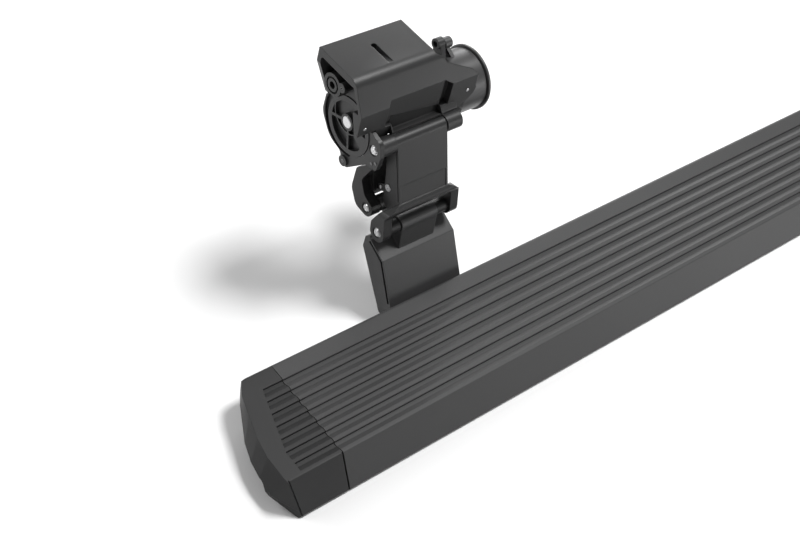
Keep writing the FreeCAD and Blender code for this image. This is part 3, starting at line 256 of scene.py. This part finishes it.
# one finish for each material slot of the record
finishes = {
    "housing_casting": {"name": "housingCoat", "dark": 0.022, "light": 0.027, "rough": 0.42, "spread": 0.10,
                        "grain": 1700.0, "depth": 0.00005, "clouds": 18.0, "edge": 0.10, "round": 0.0009},
    "gear_case_casting": {"name": "gearCaseCoat", "dark": 0.018, "light": 0.024, "rough": 0.38, "spread": 0.12,
                          "grain": 1900.0, "depth": 0.00005, "clouds": 26.0, "edge": 0.12, "round": 0.0006},
    "link_casting": {"name": "linkCoat", "dark": 0.020, "light": 0.025, "rough": 0.40, "spread": 0.10,
                     "grain": 1700.0, "depth": 0.00004, "clouds": 20.0, "edge": 0.10, "round": 0.0008},
    "arm_forging": {"name": "armCoat", "dark": 0.011, "light": 0.015, "rough": 0.42, "spread": 0.12,
                    "grain": 1400.0, "depth": 0.00006, "clouds": 34.0, "edge": 0.10, "round": 0.0010},
    "bracket_casting": {"name": "bracketCoat", "dark": 0.045, "light": 0.054, "rough": 0.40, "spread": 0.10,
                        "grain": 1600.0, "depth": 0.00005, "clouds": 16.0, "edge": 0.10, "round": 0.0010},
    "board_coating": {"name": "boardCoat", "dark": 0.040, "light": 0.047, "rough": 0.52, "spread": 0.08,
                      "grain": 2100.0, "depth": 0.00009, "clouds": 9.0, "edge": 0.06, "round": 0.0006},
    "cap_plastic": {"name": "capPlastic", "dark": 0.021, "light": 0.026, "rough": 0.50, "spread": 0.08,
                    "grain": 2600.0, "depth": 0.00005, "clouds": 12.0, "edge": 0.05, "round": 0.0010,
                    "gloss": 0.30},
    "motor_paint": {"name": "motorPaint", "dark": 0.050, "light": 0.062, "rough": 0.36, "spread": 0.10,
                    "grain": 1200.0, "depth": 0.00003, "clouds": 22.0, "edge": 0.10, "round": 0.0006},
    # seal_rubber is the gland bung's real black rubber, and also the painted shade of the pocket liner
    "seal_rubber": {"name": "rubberAndPaintedShade", "dark": 0.008, "light": 0.011, "rough": 0.70, "spread": 0.10,
                    "grain": 3000.0, "depth": 0.00003, "clouds": 60.0, "edge": 0.00, "round": 0.0003},
    "gland_plastic": {"name": "glandPlastic", "dark": 0.014, "light": 0.018, "rough": 0.45, "spread": 0.08,
                      "grain": 2600.0, "depth": 0.00003, "clouds": 50.0, "edge": 0.04, "round": 0.0004},
    "bright_steel": {"name": "brightSteel", "dark": 0.55, "light": 0.66, "rough": 0.28, "spread": 0.14,
                     "metal": 1.0, "clouds": 60.0, "turned": 5200.0, "depth": 0.000012, "edge": 0.20,
                     "round": 0.0004},
    "dark_steel": {"name": "darkSteel", "dark": 0.16, "light": 0.22, "rough": 0.38, "spread": 0.14,
                   "metal": 1.0, "clouds": 80.0, "turned": 6000.0, "depth": 0.000010, "edge": 0.20,
                   "round": 0.0003},
    "plug_steel": {"name": "plugSteel", "dark": 0.34, "light": 0.42, "rough": 0.34, "spread": 0.12,
                   "metal": 1.0, "clouds": 80.0, "turned": 5600.0, "depth": 0.000010, "edge": 0.20,
                   "round": 0.0003},
    "bush_bronze": {"name": "bushBronze", "dark": 0.30, "light": 0.36, "rough": 0.46, "spread": 0.12,
                    "metal": 1.0, "clouds": 90.0, "grain": 3200.0, "depth": 0.00002, "edge": 0.0, "round": 0.0002,
                    "tint": (1.30, 0.95, 0.55)},
}
defaultTint = (1.0, 1.0, 1.012)
defaultGloss = 0.36
defaultGrain = 2400.0
# how much lighter the painted edge highlight is than the coat
edgeHighlightGain = 2.6
speckleShare = 0.35


def placeGroup(tree, group, values):
    node = tree.nodes.new("ShaderNodeGroup")
    node.node_tree = group
    for label, value in values.items():
        node.inputs[label].default_value = value
    return node


def makeFinish(facts):
    material = bpy.data.materials.new(facts["name"])
    material.use_nodes = True
    tree = material.node_tree
    shader = tree.nodes["Principled BSDF"]
    shader.inputs["Metallic"].default_value = facts.get("metal", 0.0)
    if "metal" not in facts:
        shader.inputs["Specular IOR Level"].default_value = facts.get("gloss", defaultGloss)
    scales = {"Grain Scale": facts.get("grain", defaultGrain), "Cloud Scale": facts["clouds"]}
    grain = placeGroup(tree, coatGrain, scales)
    edge = placeGroup(tree, edgeRoundAndHighlight, {"Radius": facts["round"]})
    tones = tree.nodes.new("ShaderNodeMix")
    tones.data_type = "RGBA"
    tint = facts.get("tint", defaultTint)
    tones.inputs[6].default_value = [facts["dark"] * c for c in tint] + [1.0]
    tones.inputs[7].default_value = [facts["light"] * c for c in tint] + [1.0]
    mixed = addMath(tree, "ADD", grain.outputs["Clouds"],
                    addMath(tree, "MULTIPLY", grain.outputs["Speckle"], speckleShare), True)
    tree.links.new(mixed, tones.inputs["Factor"])
    # painted highlight: the colour turns lighter along every edge, broken up by noise
    paintedEdgeHighlight = tree.nodes.new("ShaderNodeMix")
    paintedEdgeHighlight.data_type = "RGBA"
    paintedEdgeHighlight.inputs[7].default_value = [min(1.0, facts["light"] * edgeHighlightGain * c) for c in tint] + [1.0]
    edgeHighlightMask = addMath(tree, "MULTIPLY", edge.outputs["Edge"], facts["edge"] * 4.0, True)
    tree.links.new(edgeHighlightMask, paintedEdgeHighlight.inputs["Factor"])
    tree.links.new(tones.outputs[2], paintedEdgeHighlight.inputs[6])
    tree.links.new(paintedEdgeHighlight.outputs[2], shader.inputs["Base Color"])
    spread = addMath(tree, "MULTIPLY", addMath(tree, "SUBTRACT", grain.outputs["Clouds"], 0.5), facts["spread"])
    tree.links.new(addMath(tree, "ADD", spread, facts["rough"], True), shader.inputs["Roughness"])
    bump = tree.nodes.new("ShaderNodeBump")
    bump.inputs["Strength"].default_value = 1.0
    bump.inputs["Distance"].default_value = facts["depth"]
    if "turned" in facts:
        lines = placeGroup(tree, turnedLines, {"Pitch": facts["turned"]})
        tree.links.new(lines.outputs["Height"], bump.inputs["Height"])
    else:
        tree.links.new(grain.outputs["Height"], bump.inputs["Height"])
    tree.links.new(edge.outputs["Normal"], bump.inputs["Normal"])
    tree.links.new(bump.outputs["Normal"], shader.inputs["Normal"])
    return material


materials = {slot: makeFinish(facts) for slot, facts in finishes.items()}
for part in frame["record"]["subparts"]:
    node = nodes[part["node"]]
    for holder in node.material_slots:
        holder.material = materials[part["material_slot"]]
print("materials made:", len(materials))


def growStack(name, sides, steps):
    # a turned or many-sided form, grown up ring by ring from (height, radius)
    deselectAll()
    height, radius = steps[0]
    bpy.ops.mesh.primitive_circle_add(vertices=sides, radius=radius, fill_type="NGON", location=(0.0, 0.0, height))
    piece = bpy.context.object
    piece.name = name
    bpy.ops.object.transform_apply(location=True, rotation=True, scale=True)
    bpy.ops.object.mode_set(mode="EDIT")
    bpy.ops.mesh.select_mode(type="FACE")
    bpy.ops.mesh.select_all(action="SELECT")
    for nextHeight, nextRadius in steps[1:]:
        bpy.ops.mesh.extrude_region_move(TRANSFORM_OT_translate={"value": (0.0, 0.0, nextHeight - height)})
        grow = nextRadius / radius
        bpy.ops.transform.resize(value=(grow, grow, 1.0), center_override=(0.0, 0.0, nextHeight))
        height, radius = nextHeight, nextRadius
    bpy.ops.mesh.select_all(action="SELECT")
    bpy.ops.mesh.normals_make_consistent(inside=False)
    bpy.ops.object.mode_set(mode="OBJECT")
    return piece


def applyModifier(piece, kind, **values):
    deselectAll()
    piece.select_set(True)
    bpy.context.view_layer.objects.active = piece
    modifier = piece.modifiers.new(kind.lower(), kind)
    for label, value in values.items():
        setattr(modifier, label, value)
    bpy.ops.object.modifier_apply(modifier=modifier.name)


def combine(piece, tool, operation):
    # adds, cuts or keeps one form with another, and drops the second
    applyModifier(piece, "BOOLEAN", object=tool, operation=operation, solver="EXACT")
    bpy.data.objects.remove(tool)


def softenEdges(piece, width):
    applyModifier(piece, "BEVEL", width=width, segments=2, limit_method="ANGLE", angle_limit=math.radians(38.0))


def cutSocket(piece, across, floor, top):
    # a hexagon key's socket, sunk from the top
    tool = growStack("socketTool", 6, [(floor, across / math.sqrt(3.0)), (top + 0.001, across / math.sqrt(3.0))])
    combine(piece, tool, "DIFFERENCE")


def copyTo(piece, origin, direction, roll=0.0):
    # a copy with its own mesh, its top turned towards the direction and its place in its mesh
    twin = piece.copy()
    twin.data = piece.data.copy()
    bpy.context.scene.collection.objects.link(twin)
    turn = Vector(direction).to_track_quat("Z", "Y").to_matrix().to_4x4()
    twin.matrix_world = Matrix.Translation(Vector(origin)) @ turn @ Matrix.Rotation(roll, 4, "Z")
    deselectAll()
    twin.select_set(True)
    bpy.context.view_layer.objects.active = twin
    bpy.ops.object.transform_apply(location=True, rotation=True, scale=True)
    return twin


def joinAs(name, parts):
    deselectAll()
    for part in parts:
        part.select_set(True)
    bpy.context.view_layer.objects.active = parts[0]
    if len(parts) > 1:
        bpy.ops.object.join()
    parts[0].name = name
    return parts[0]


def finishPiece(piece, body, slot, smooth=32.0):
    deselectAll()
    piece.select_set(True)
    bpy.context.view_layer.objects.active = piece
    bpy.ops.object.shade_smooth_by_angle(angle=math.radians(smooth))
    piece.data.materials.clear()
    piece.data.materials.append(materials[slot])
    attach(piece, body)
    return piece


def copyNode(nodeName, pieceName):
    # a node's own shape as a new piece, its loose triangles merged, ready to be worked on
    source = nodes[nodeName]
    piece = bpy.data.objects.new(pieceName, source.data.copy())
    bpy.context.scene.collection.objects.link(piece)
    piece.matrix_world = source.matrix_world
    deselectAll()
    piece.select_set(True)
    bpy.context.view_layer.objects.active = piece
    bpy.ops.object.transform_apply(location=True, rotation=True, scale=True)
    bpy.ops.mesh.customdata_custom_splitnormals_clear()
    bpy.ops.object.mode_set(mode="EDIT")
    bpy.ops.mesh.select_all(action="SELECT")
    bpy.ops.mesh.remove_doubles(threshold=0.000002)
    bpy.ops.object.mode_set(mode="OBJECT")
    return piece


def moveWithin(piece, low, high, shift):
    # moves the corners that lie inside a box
    deselectAll()
    piece.select_set(True)
    bpy.context.view_layer.objects.active = piece
    bpy.ops.object.mode_set(mode="EDIT")
    bpy.ops.mesh.select_mode(type="VERT")
    bpy.ops.mesh.select_all(action="DESELECT")
    bpy.ops.object.mode_set(mode="OBJECT")
    for corner in piece.data.vertices:
        corner.select = all(low[axis] <= corner.co[axis] <= high[axis] for axis in range(3))
    bpy.ops.object.mode_set(mode="EDIT")
    bpy.ops.transform.translate(value=shift)
    bpy.ops.object.mode_set(mode="OBJECT")


def growPrism(name, axis, corners, low, high):
    # a straight form with the given outline, from low to high along one axis
    deselectAll()
    bpy.ops.mesh.primitive_circle_add(vertices=len(corners), radius=1.0, fill_type="NGON")
    piece = bpy.context.object
    piece.name = name
    others = [other for other in range(3) if other != axis]
    for vertex, corner in zip(piece.data.vertices, corners):
        vertex.co[axis] = low
        vertex.co[others[0]], vertex.co[others[1]] = corner
    bpy.ops.object.mode_set(mode="EDIT")
    bpy.ops.mesh.select_all(action="SELECT")
    step = [0.0, 0.0, 0.0]
    step[axis] = high - low
    bpy.ops.mesh.extrude_region_move(TRANSFORM_OT_translate={"value": step})
    bpy.ops.mesh.select_all(action="SELECT")
    bpy.ops.mesh.normals_make_consistent(inside=False)
    bpy.ops.object.mode_set(mode="OBJECT")
    return piece


# the front housing with its deeper run-out slot and the pocket over the link's eye, made dark by a liner that is
# painted shade.
# Outlines along X hold (y, z), and the wedge, along Y, holds (x, z)
housingFacts = {
    "pocket": [(-0.0670, -0.0757), (-0.0600, -0.0768), (-0.0565, -0.0774), (-0.0539, -0.0766), (-0.0512, -0.0620),
               (-0.0515, -0.0585), (-0.0549, -0.0585), (-0.0549, -0.0662), (-0.0670, -0.0662)],
    "shadeLiner": [(-0.0638, -0.0761), (-0.0600, -0.0767), (-0.0565, -0.0773), (-0.0540, -0.0765), (-0.0513, -0.0620),
             (-0.0516, -0.0587), (-0.0528, -0.0587), (-0.0526, -0.0620), (-0.0550, -0.0755), (-0.0565, -0.0763),
             (-0.0600, -0.0757), (-0.0638, -0.0750)],
    "pocketReach": (-0.0372, 0.0372),
    "wedge": [(-0.0456, -0.0535), (0.0386, -0.0668), (0.0386, -0.0672), (-0.0456, -0.0672)],
    "wedgeReach": (-0.0600, -0.0525),
    "slotWell": {"x": -0.0303, "y": 0.0042, "radius": 0.0040, "depth": 0.0090},
    "slotRamp": [(0.0042, -0.0080), (-0.0280, 0.0002), (0.0042, 0.0010)],
    "slotHalf": 0.0031,
    "smooth": 19.0,
}


def makeHousingShell(facts):
    shell = copyNode("front_housing", "housingShell")
    combine(shell, growPrism("pocketTool", 0, facts["pocket"], *facts["pocketReach"]), "DIFFERENCE")
    combine(shell, growPrism("wedgeTool", 1, facts["wedge"], *facts["wedgeReach"]), "DIFFERENCE")
    well = facts["slotWell"]
    hole = growStack("wellTool", 28, [(-well["depth"], well["radius"] * 0.6),
                                      (0.0016 - well["depth"], well["radius"]), (0.001, well["radius"])])
    hole.location = (well["x"], well["y"], 0.0)
    combine(shell, hole, "DIFFERENCE")
    slotLow, slotHigh = well["x"] - facts["slotHalf"], well["x"] + facts["slotHalf"]
    combine(shell, growPrism("rampTool", 0, facts["slotRamp"], slotLow, slotHigh), "DIFFERENCE")
    finishPiece(shell, "housings", "housing_casting", facts["smooth"])
    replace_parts(shell, "front_housing")
    # a dark strip lines the pocket: painted shade, a black sheet put where the pocket holds only shadow
    low, high = facts["pocketReach"]
    shadeLiner = growPrism("pocketShadeLiner", 0, facts["shadeLiner"], low + 0.0001, high - 0.0001)
    softenEdges(shadeLiner, 0.0003)
    finishPiece(shadeLiner, "housings", "seal_rubber")


makeHousingShell(housingFacts)

# the can's lug leans down to stand close beside the housing's
canFacts = {"low": (0.080, -0.020, -0.0436), "high": (0.100, 0.020, 0.0), "shift": (-0.0060, 0.0, -0.0035)}
canShell = copyNode("motor_can", "canShell")
moveWithin(canShell, canFacts["low"], canFacts["high"], canFacts["shift"])
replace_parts(finishPiece(canShell, "housings", "motor_paint"), "motor_can")

# both end caps: the lowest front corner is drawn in, mirrored about the board's middle
capFacts = {
    "boardEnds": (-0.2444, 1.5356),
    "low": (-0.3370, -0.2880, -0.3020),
    "high": (-0.3350, -0.2862, -0.2996),
    "shift": (0.0030, 0.0, 0.0),
    "smooth": 14.0,
}
for side in ("left", "right"):
    low, high, shift = capFacts["low"], capFacts["high"], capFacts["shift"]
    if side == "right":
        mirror = sum(capFacts["boardEnds"])
        low, high = (mirror - high[0],) + low[1:], (mirror - low[0],) + high[1:]
        shift = (-shift[0],) + shift[1:]
    capShell = copyNode(side + "_end_cap", side + "CapShell")
    moveWithin(capShell, low, high, shift)
    finishPiece(capShell, "board", "cap_plastic", capFacts["smooth"])
    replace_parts(capShell, side + "_end_cap")
print("reshaped castings and caps made")


# hammer-head bolts under the board: head in the slot, threaded end, washer and hexagon nut
footBolt = {
    "rows": {"front": 0.0, "rear": 1.2912},       # x of each bracket's middle
    "spreadX": 0.038,
    "places": ((-0.247, -0.3034), (-0.185, -0.3059)),      # y, and z of the foot's underside there
    "headLow": -0.290,
    "headSize": (0.014, 0.016, 0.005),
    "shank": 0.0040,
    "pitch": 0.00125,
    "below": 0.0085,
    "nut": 0.0074,
    "nutHeight": 0.0055,
    "washer": 0.0080,
    "washerHeight": 0.0014,
    "washerGap": 0.0003,
    "nutGap": 0.00002,
}


def makeThread(name, radius, pitch, low, high, plainFrom):
    steps = [(low, radius * 0.72), (low + pitch * 0.5, radius * 0.90)]
    height = low + pitch * 0.5
    while height < plainFrom:
        steps += [(height + pitch * 0.15, radius), (height + pitch * 0.40, radius),
                  (height + pitch * 0.70, radius * 0.88), (height + pitch * 0.95, radius * 0.88)]
        height += pitch
    steps += [(height + pitch * 0.4, radius * 0.98), (high, radius * 0.98)]
    return growStack(name, 28, steps)


def makeNut(name, radius, height, bore):
    nut = growStack(name, 6, [(0.0, radius), (height, radius)])
    chamfer = growStack("nutChamfer", 36, [(-0.0001, radius * 0.84), (height * 0.16, radius * 1.02),
                                           (height * 0.84, radius * 1.02), (height + 0.0001, radius * 0.84)])
    combine(nut, chamfer, "INTERSECT")
    hole = growStack("nutHole", 28, [(-0.001, bore), (height + 0.001, bore)])
    combine(nut, hole, "DIFFERENCE")
    softenEdges(nut, height * 0.03)
    return nut


def makeWasher(name, radius, bore, height):
    washer = growStack(name, 40, [(0.0, radius * 0.97), (height * 0.2, radius), (height * 0.8, radius),
                                  (height, radius * 0.97)])
    hole = growStack("washerHole", 32, [(-0.001, bore), (height + 0.001, bore)])
    combine(washer, hole, "DIFFERENCE")
    return washer


def makeFootBolts(facts):
    deselectAll()
    bpy.ops.mesh.primitive_cube_add(size=1.0, location=(0.0, 0.0, 0.0))
    head = bpy.context.object
    head.scale = facts["headSize"]
    bpy.ops.object.transform_apply(location=True, rotation=True, scale=True)
    softenEdges(head, 0.0007)
    nut = makeNut("nutMaster", facts["nut"], facts["nutHeight"], facts["shank"] * 0.98)
    washer = makeWasher("washerMaster", facts["washer"], facts["shank"] * 1.06, facts["washerHeight"])
    for row, middle in facts["rows"].items():
        parts = []
        for side in (-1.0, 1.0):
            x = middle + side * facts["spreadX"]
            for y, under in facts["places"]:
                low = under - facts["below"]
                thread = makeThread("threadMaster", facts["shank"], facts["pitch"], low, facts["headLow"] + 0.001,
                                    under - 0.0006)
                parts.append(copyTo(thread, (x, y, 0.0), (0.0, 0.0, 1.0)))
                bpy.data.objects.remove(thread)
                washerLow = under - facts["washerHeight"] - facts["washerGap"]
                parts.append(copyTo(washer, (x, y, washerLow), (0.0, 0.0, 1.0)))
                nutLow = washerLow - facts["nutHeight"] - facts["nutGap"]
                parts.append(copyTo(nut, (x, y, nutLow), (0.0, 0.0, 1.0), roll=0.4 * side + y))
                headMiddle = facts["headLow"] + facts["headSize"][2] / 2
                parts.append(copyTo(head, (x, y, headMiddle), (0.0, 0.0, 1.0)))
        piece = joinAs(row + "FootBoltSet", parts)
        finishPiece(piece, "board", "dark_steel")
        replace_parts(piece, row + "_foot_bolts")
    for master in (head, nut, washer):
        bpy.data.objects.remove(master)


makeFootBolts(footBolt)


def capScrews(nodeName, x):
    heads = tuple(
        {"place": (x, y, -0.2930), "radius": 0.0040, "height": 0.0022, "socket": 0.0025, "shank": 0.0019,
         "reach": 0.0110}
        for y in (-0.2645, -0.2160)
    )
    return {"node": nodeName, "body": "board", "slot": "dark_steel", "direction": (0.0, 0.0, -1.0), "heads": heads}


endPlate = {"x": 0.1219, "y": -0.0187, "z": -0.0831, "ring": 0.0335, "turns": (0.5, 2.6, 4.7)}

# small screws with sockets: each set stands where its node stands, and the end plate's has no node
screwSets = {
    "plateScrewSet": {
        "node": "plate_screws", "body": "housings", "slot": "dark_steel", "direction": (-1.0, 0.0, 0.0),
        "heads": (
            {"place": (-0.0734, -0.0085, -0.0355), "radius": 0.0019, "height": 0.0062, "socket": 0.0019},
            {"place": (-0.0654, -0.0255, -0.1390), "radius": 0.0026, "height": 0.0038, "socket": 0.0022},
            {"place": (-0.0662, -0.0695, -0.1065), "radius": 0.0020, "height": 0.0012, "socket": 0.0014},
            {"place": (-0.0662, -0.0755, -0.1016), "radius": 0.0020, "height": 0.0012, "socket": 0.0014},
        ),
    },
    "faceScrewSet": {
        "node": "face_screws", "body": "housings", "slot": "bright_steel", "direction": (0.0, -1.0, 0.0),
        "heads": (
            {"place": (-0.0797, -0.0588, -0.0565), "radius": 0.0021, "height": 0.0010, "socket": 0.0011},
            {"place": (0.0767, -0.0588, -0.0565), "radius": 0.0021, "height": 0.0010, "socket": 0.0011},
        ),
    },
    "motorBoltHead": {
        "node": "motor_bolt", "body": "housings", "slot": "dark_steel", "direction": (1.0, 0.0, 0.0),
        "heads": (
            {"place": (0.0890, -0.0008, -0.0305), "radius": 0.0040, "height": 0.0030, "socket": 0.0036,
             "shank": 0.0019, "reach": 0.0088},
        ),
    },
    "leftCapScrewSet": capScrews("left_cap_screws", -0.2294),
    "rightCapScrewSet": capScrews("right_cap_screws", 1.5206),
    "endPlateScrewSet": {
        "node": None, "body": "housings", "slot": "dark_steel", "direction": (1.0, 0.0, 0.0),
        "heads": tuple(
            {"place": (endPlate["x"], endPlate["y"] + endPlate["ring"] * math.sin(turn),
                       endPlate["z"] + endPlate["ring"] * math.cos(turn)),
             "radius": 0.0030, "height": 0.0019, "socket": 0.0022}
            for turn in endPlate["turns"]
        ),
    },
}


def makeScrewHead(facts):
    # a domed head, with a socket for a key, on its shank where that is wanted
    radius, height = facts["radius"], facts["height"]
    steps = [(0.0, radius * 0.96), (height * 0.12, radius), (height * 0.55, radius),
             (height * 0.80, radius * 0.95), (height * 0.95, radius * 0.84), (height, radius * 0.66)]
    if "shank" in facts:
        reach, shank = facts["reach"], facts["shank"]
        steps = [(-reach, shank * 0.8), (0.0006 - reach, shank), (-0.00005, shank)] + steps
    head = growStack("headMaster", 36, steps)
    cutSocket(head, facts["socket"], height * 0.35, height)
    return head


for setName, setFacts in screwSets.items():
    parts = []
    for index, headFacts in enumerate(setFacts["heads"]):
        master = makeScrewHead(headFacts)
        parts.append(copyTo(master, headFacts["place"], setFacts["direction"], roll=0.5 + index))
        bpy.data.objects.remove(master)
    piece = finishPiece(joinAs(setName, parts), setFacts["body"], setFacts["slot"])
    if setFacts["node"]:
        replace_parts(piece, setFacts["node"])
print("bolts and screws made")


# the pins' faces: chamfered, with a ring groove and the lathe's centre mark
pinFaces = {
    "upperPinFace": {"place": (-0.0664, -0.0675, -0.0880), "body": "housings", "radius": 0.0046},
    "lowerPinFace": {"place": (-0.0595, -0.0990, -0.1990), "body": "front_link", "radius": 0.0046},
    "armPinFace": {"place": (-0.0544, -0.0678, -0.1873), "body": "board", "radius": 0.0044},
}


def makePinFace(facts):
    radius = facts["radius"]
    return growStack("faceMaster", 48, [
        (-0.0004, radius), (0.00012, radius), (0.00045, radius * 0.93), (0.00050, radius * 0.74),
        (0.00022, radius * 0.70), (0.00022, radius * 0.62), (0.00052, radius * 0.58), (0.00056, radius * 0.30),
        (0.00050, radius * 0.24), (-0.00020, radius * 0.05),
    ])


for faceName, faceFacts in pinFaces.items():
    master = makePinFace(faceFacts)
    face = joinAs(faceName, [copyTo(master, faceFacts["place"], (-1.0, 0.0, 0.0))])
    finishPiece(face, faceFacts["body"], "bright_steel")
    bpy.data.objects.remove(master)


# gland low on the motor: a hexagon foot, a ribbed dome nut and a rubber bung with the lead's hole
glandFacts = {
    "place": (0.0979, 0.0052, -0.1070),
    "direction": (0.0, 1.0, -1.0),
    "foot": 0.0080,
    "footHeight": 0.0062,
    "ribs": 18,
    "groove": {"radius": 0.00035, "ring": 0.0070, "low": 0.0068, "high": 0.0112},
    "dome": [(0.0062, 0.0066), (0.0066, 0.0069), (0.0105, 0.0068), (0.0124, 0.0060), (0.0136, 0.0048)],
    "bore": {"radius": 0.0034, "low": 0.0090, "high": 0.0150},
    "bung": [(0.0095, 0.0032), (0.0128, 0.0033), (0.0134, 0.0030), (0.0135, 0.0022), (0.0126, 0.0020),
             (0.0110, 0.0019)],
}


def makeGland(facts):
    foot = growStack("glandFoot", 6, [(0.0, facts["foot"]), (facts["footHeight"], facts["foot"])])
    turned = growStack("glandTurned", 40, [(-0.001, facts["foot"] * 1.02), (0.0048, facts["foot"] * 1.02),
                                           (0.0063, facts["foot"] * 0.86)])
    combine(foot, turned, "INTERSECT")
    softenEdges(foot, 0.0002)
    dome = growStack("glandDome", facts["ribs"] * 2, facts["dome"])
    cut = facts["groove"]
    for rib in range(facts["ribs"]):
        turn = 2.0 * math.pi * rib / facts["ribs"]
        groove = growStack("glandGroove", 10, [(cut["low"], cut["radius"]), (cut["high"], cut["radius"])])
        groove.location = (cut["ring"] * math.cos(turn), cut["ring"] * math.sin(turn), 0.0)
        combine(dome, groove, "DIFFERENCE")
    bore = facts["bore"]
    boreTool = growStack("glandBore", 32, [(bore["low"], bore["radius"]), (bore["high"], bore["radius"])])
    combine(dome, boreTool, "DIFFERENCE")
    softenEdges(dome, 0.0001)
    both = [copyTo(part, facts["place"], facts["direction"]) for part in (foot, dome)]
    piece = finishPiece(joinAs("leadGland", both), "housings", "gland_plastic")
    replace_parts(piece, "cable_gland")
    bung = growStack("bungMaster", 36, facts["bung"])
    seated = copyTo(bung, facts["place"], facts["direction"])
    finishPiece(joinAs("glandBung", [seated]), "housings", "seal_rubber")
    for part in (foot, dome, bung):
        bpy.data.objects.remove(part)


makeGland(glandFacts)
print("pin faces and gland made")
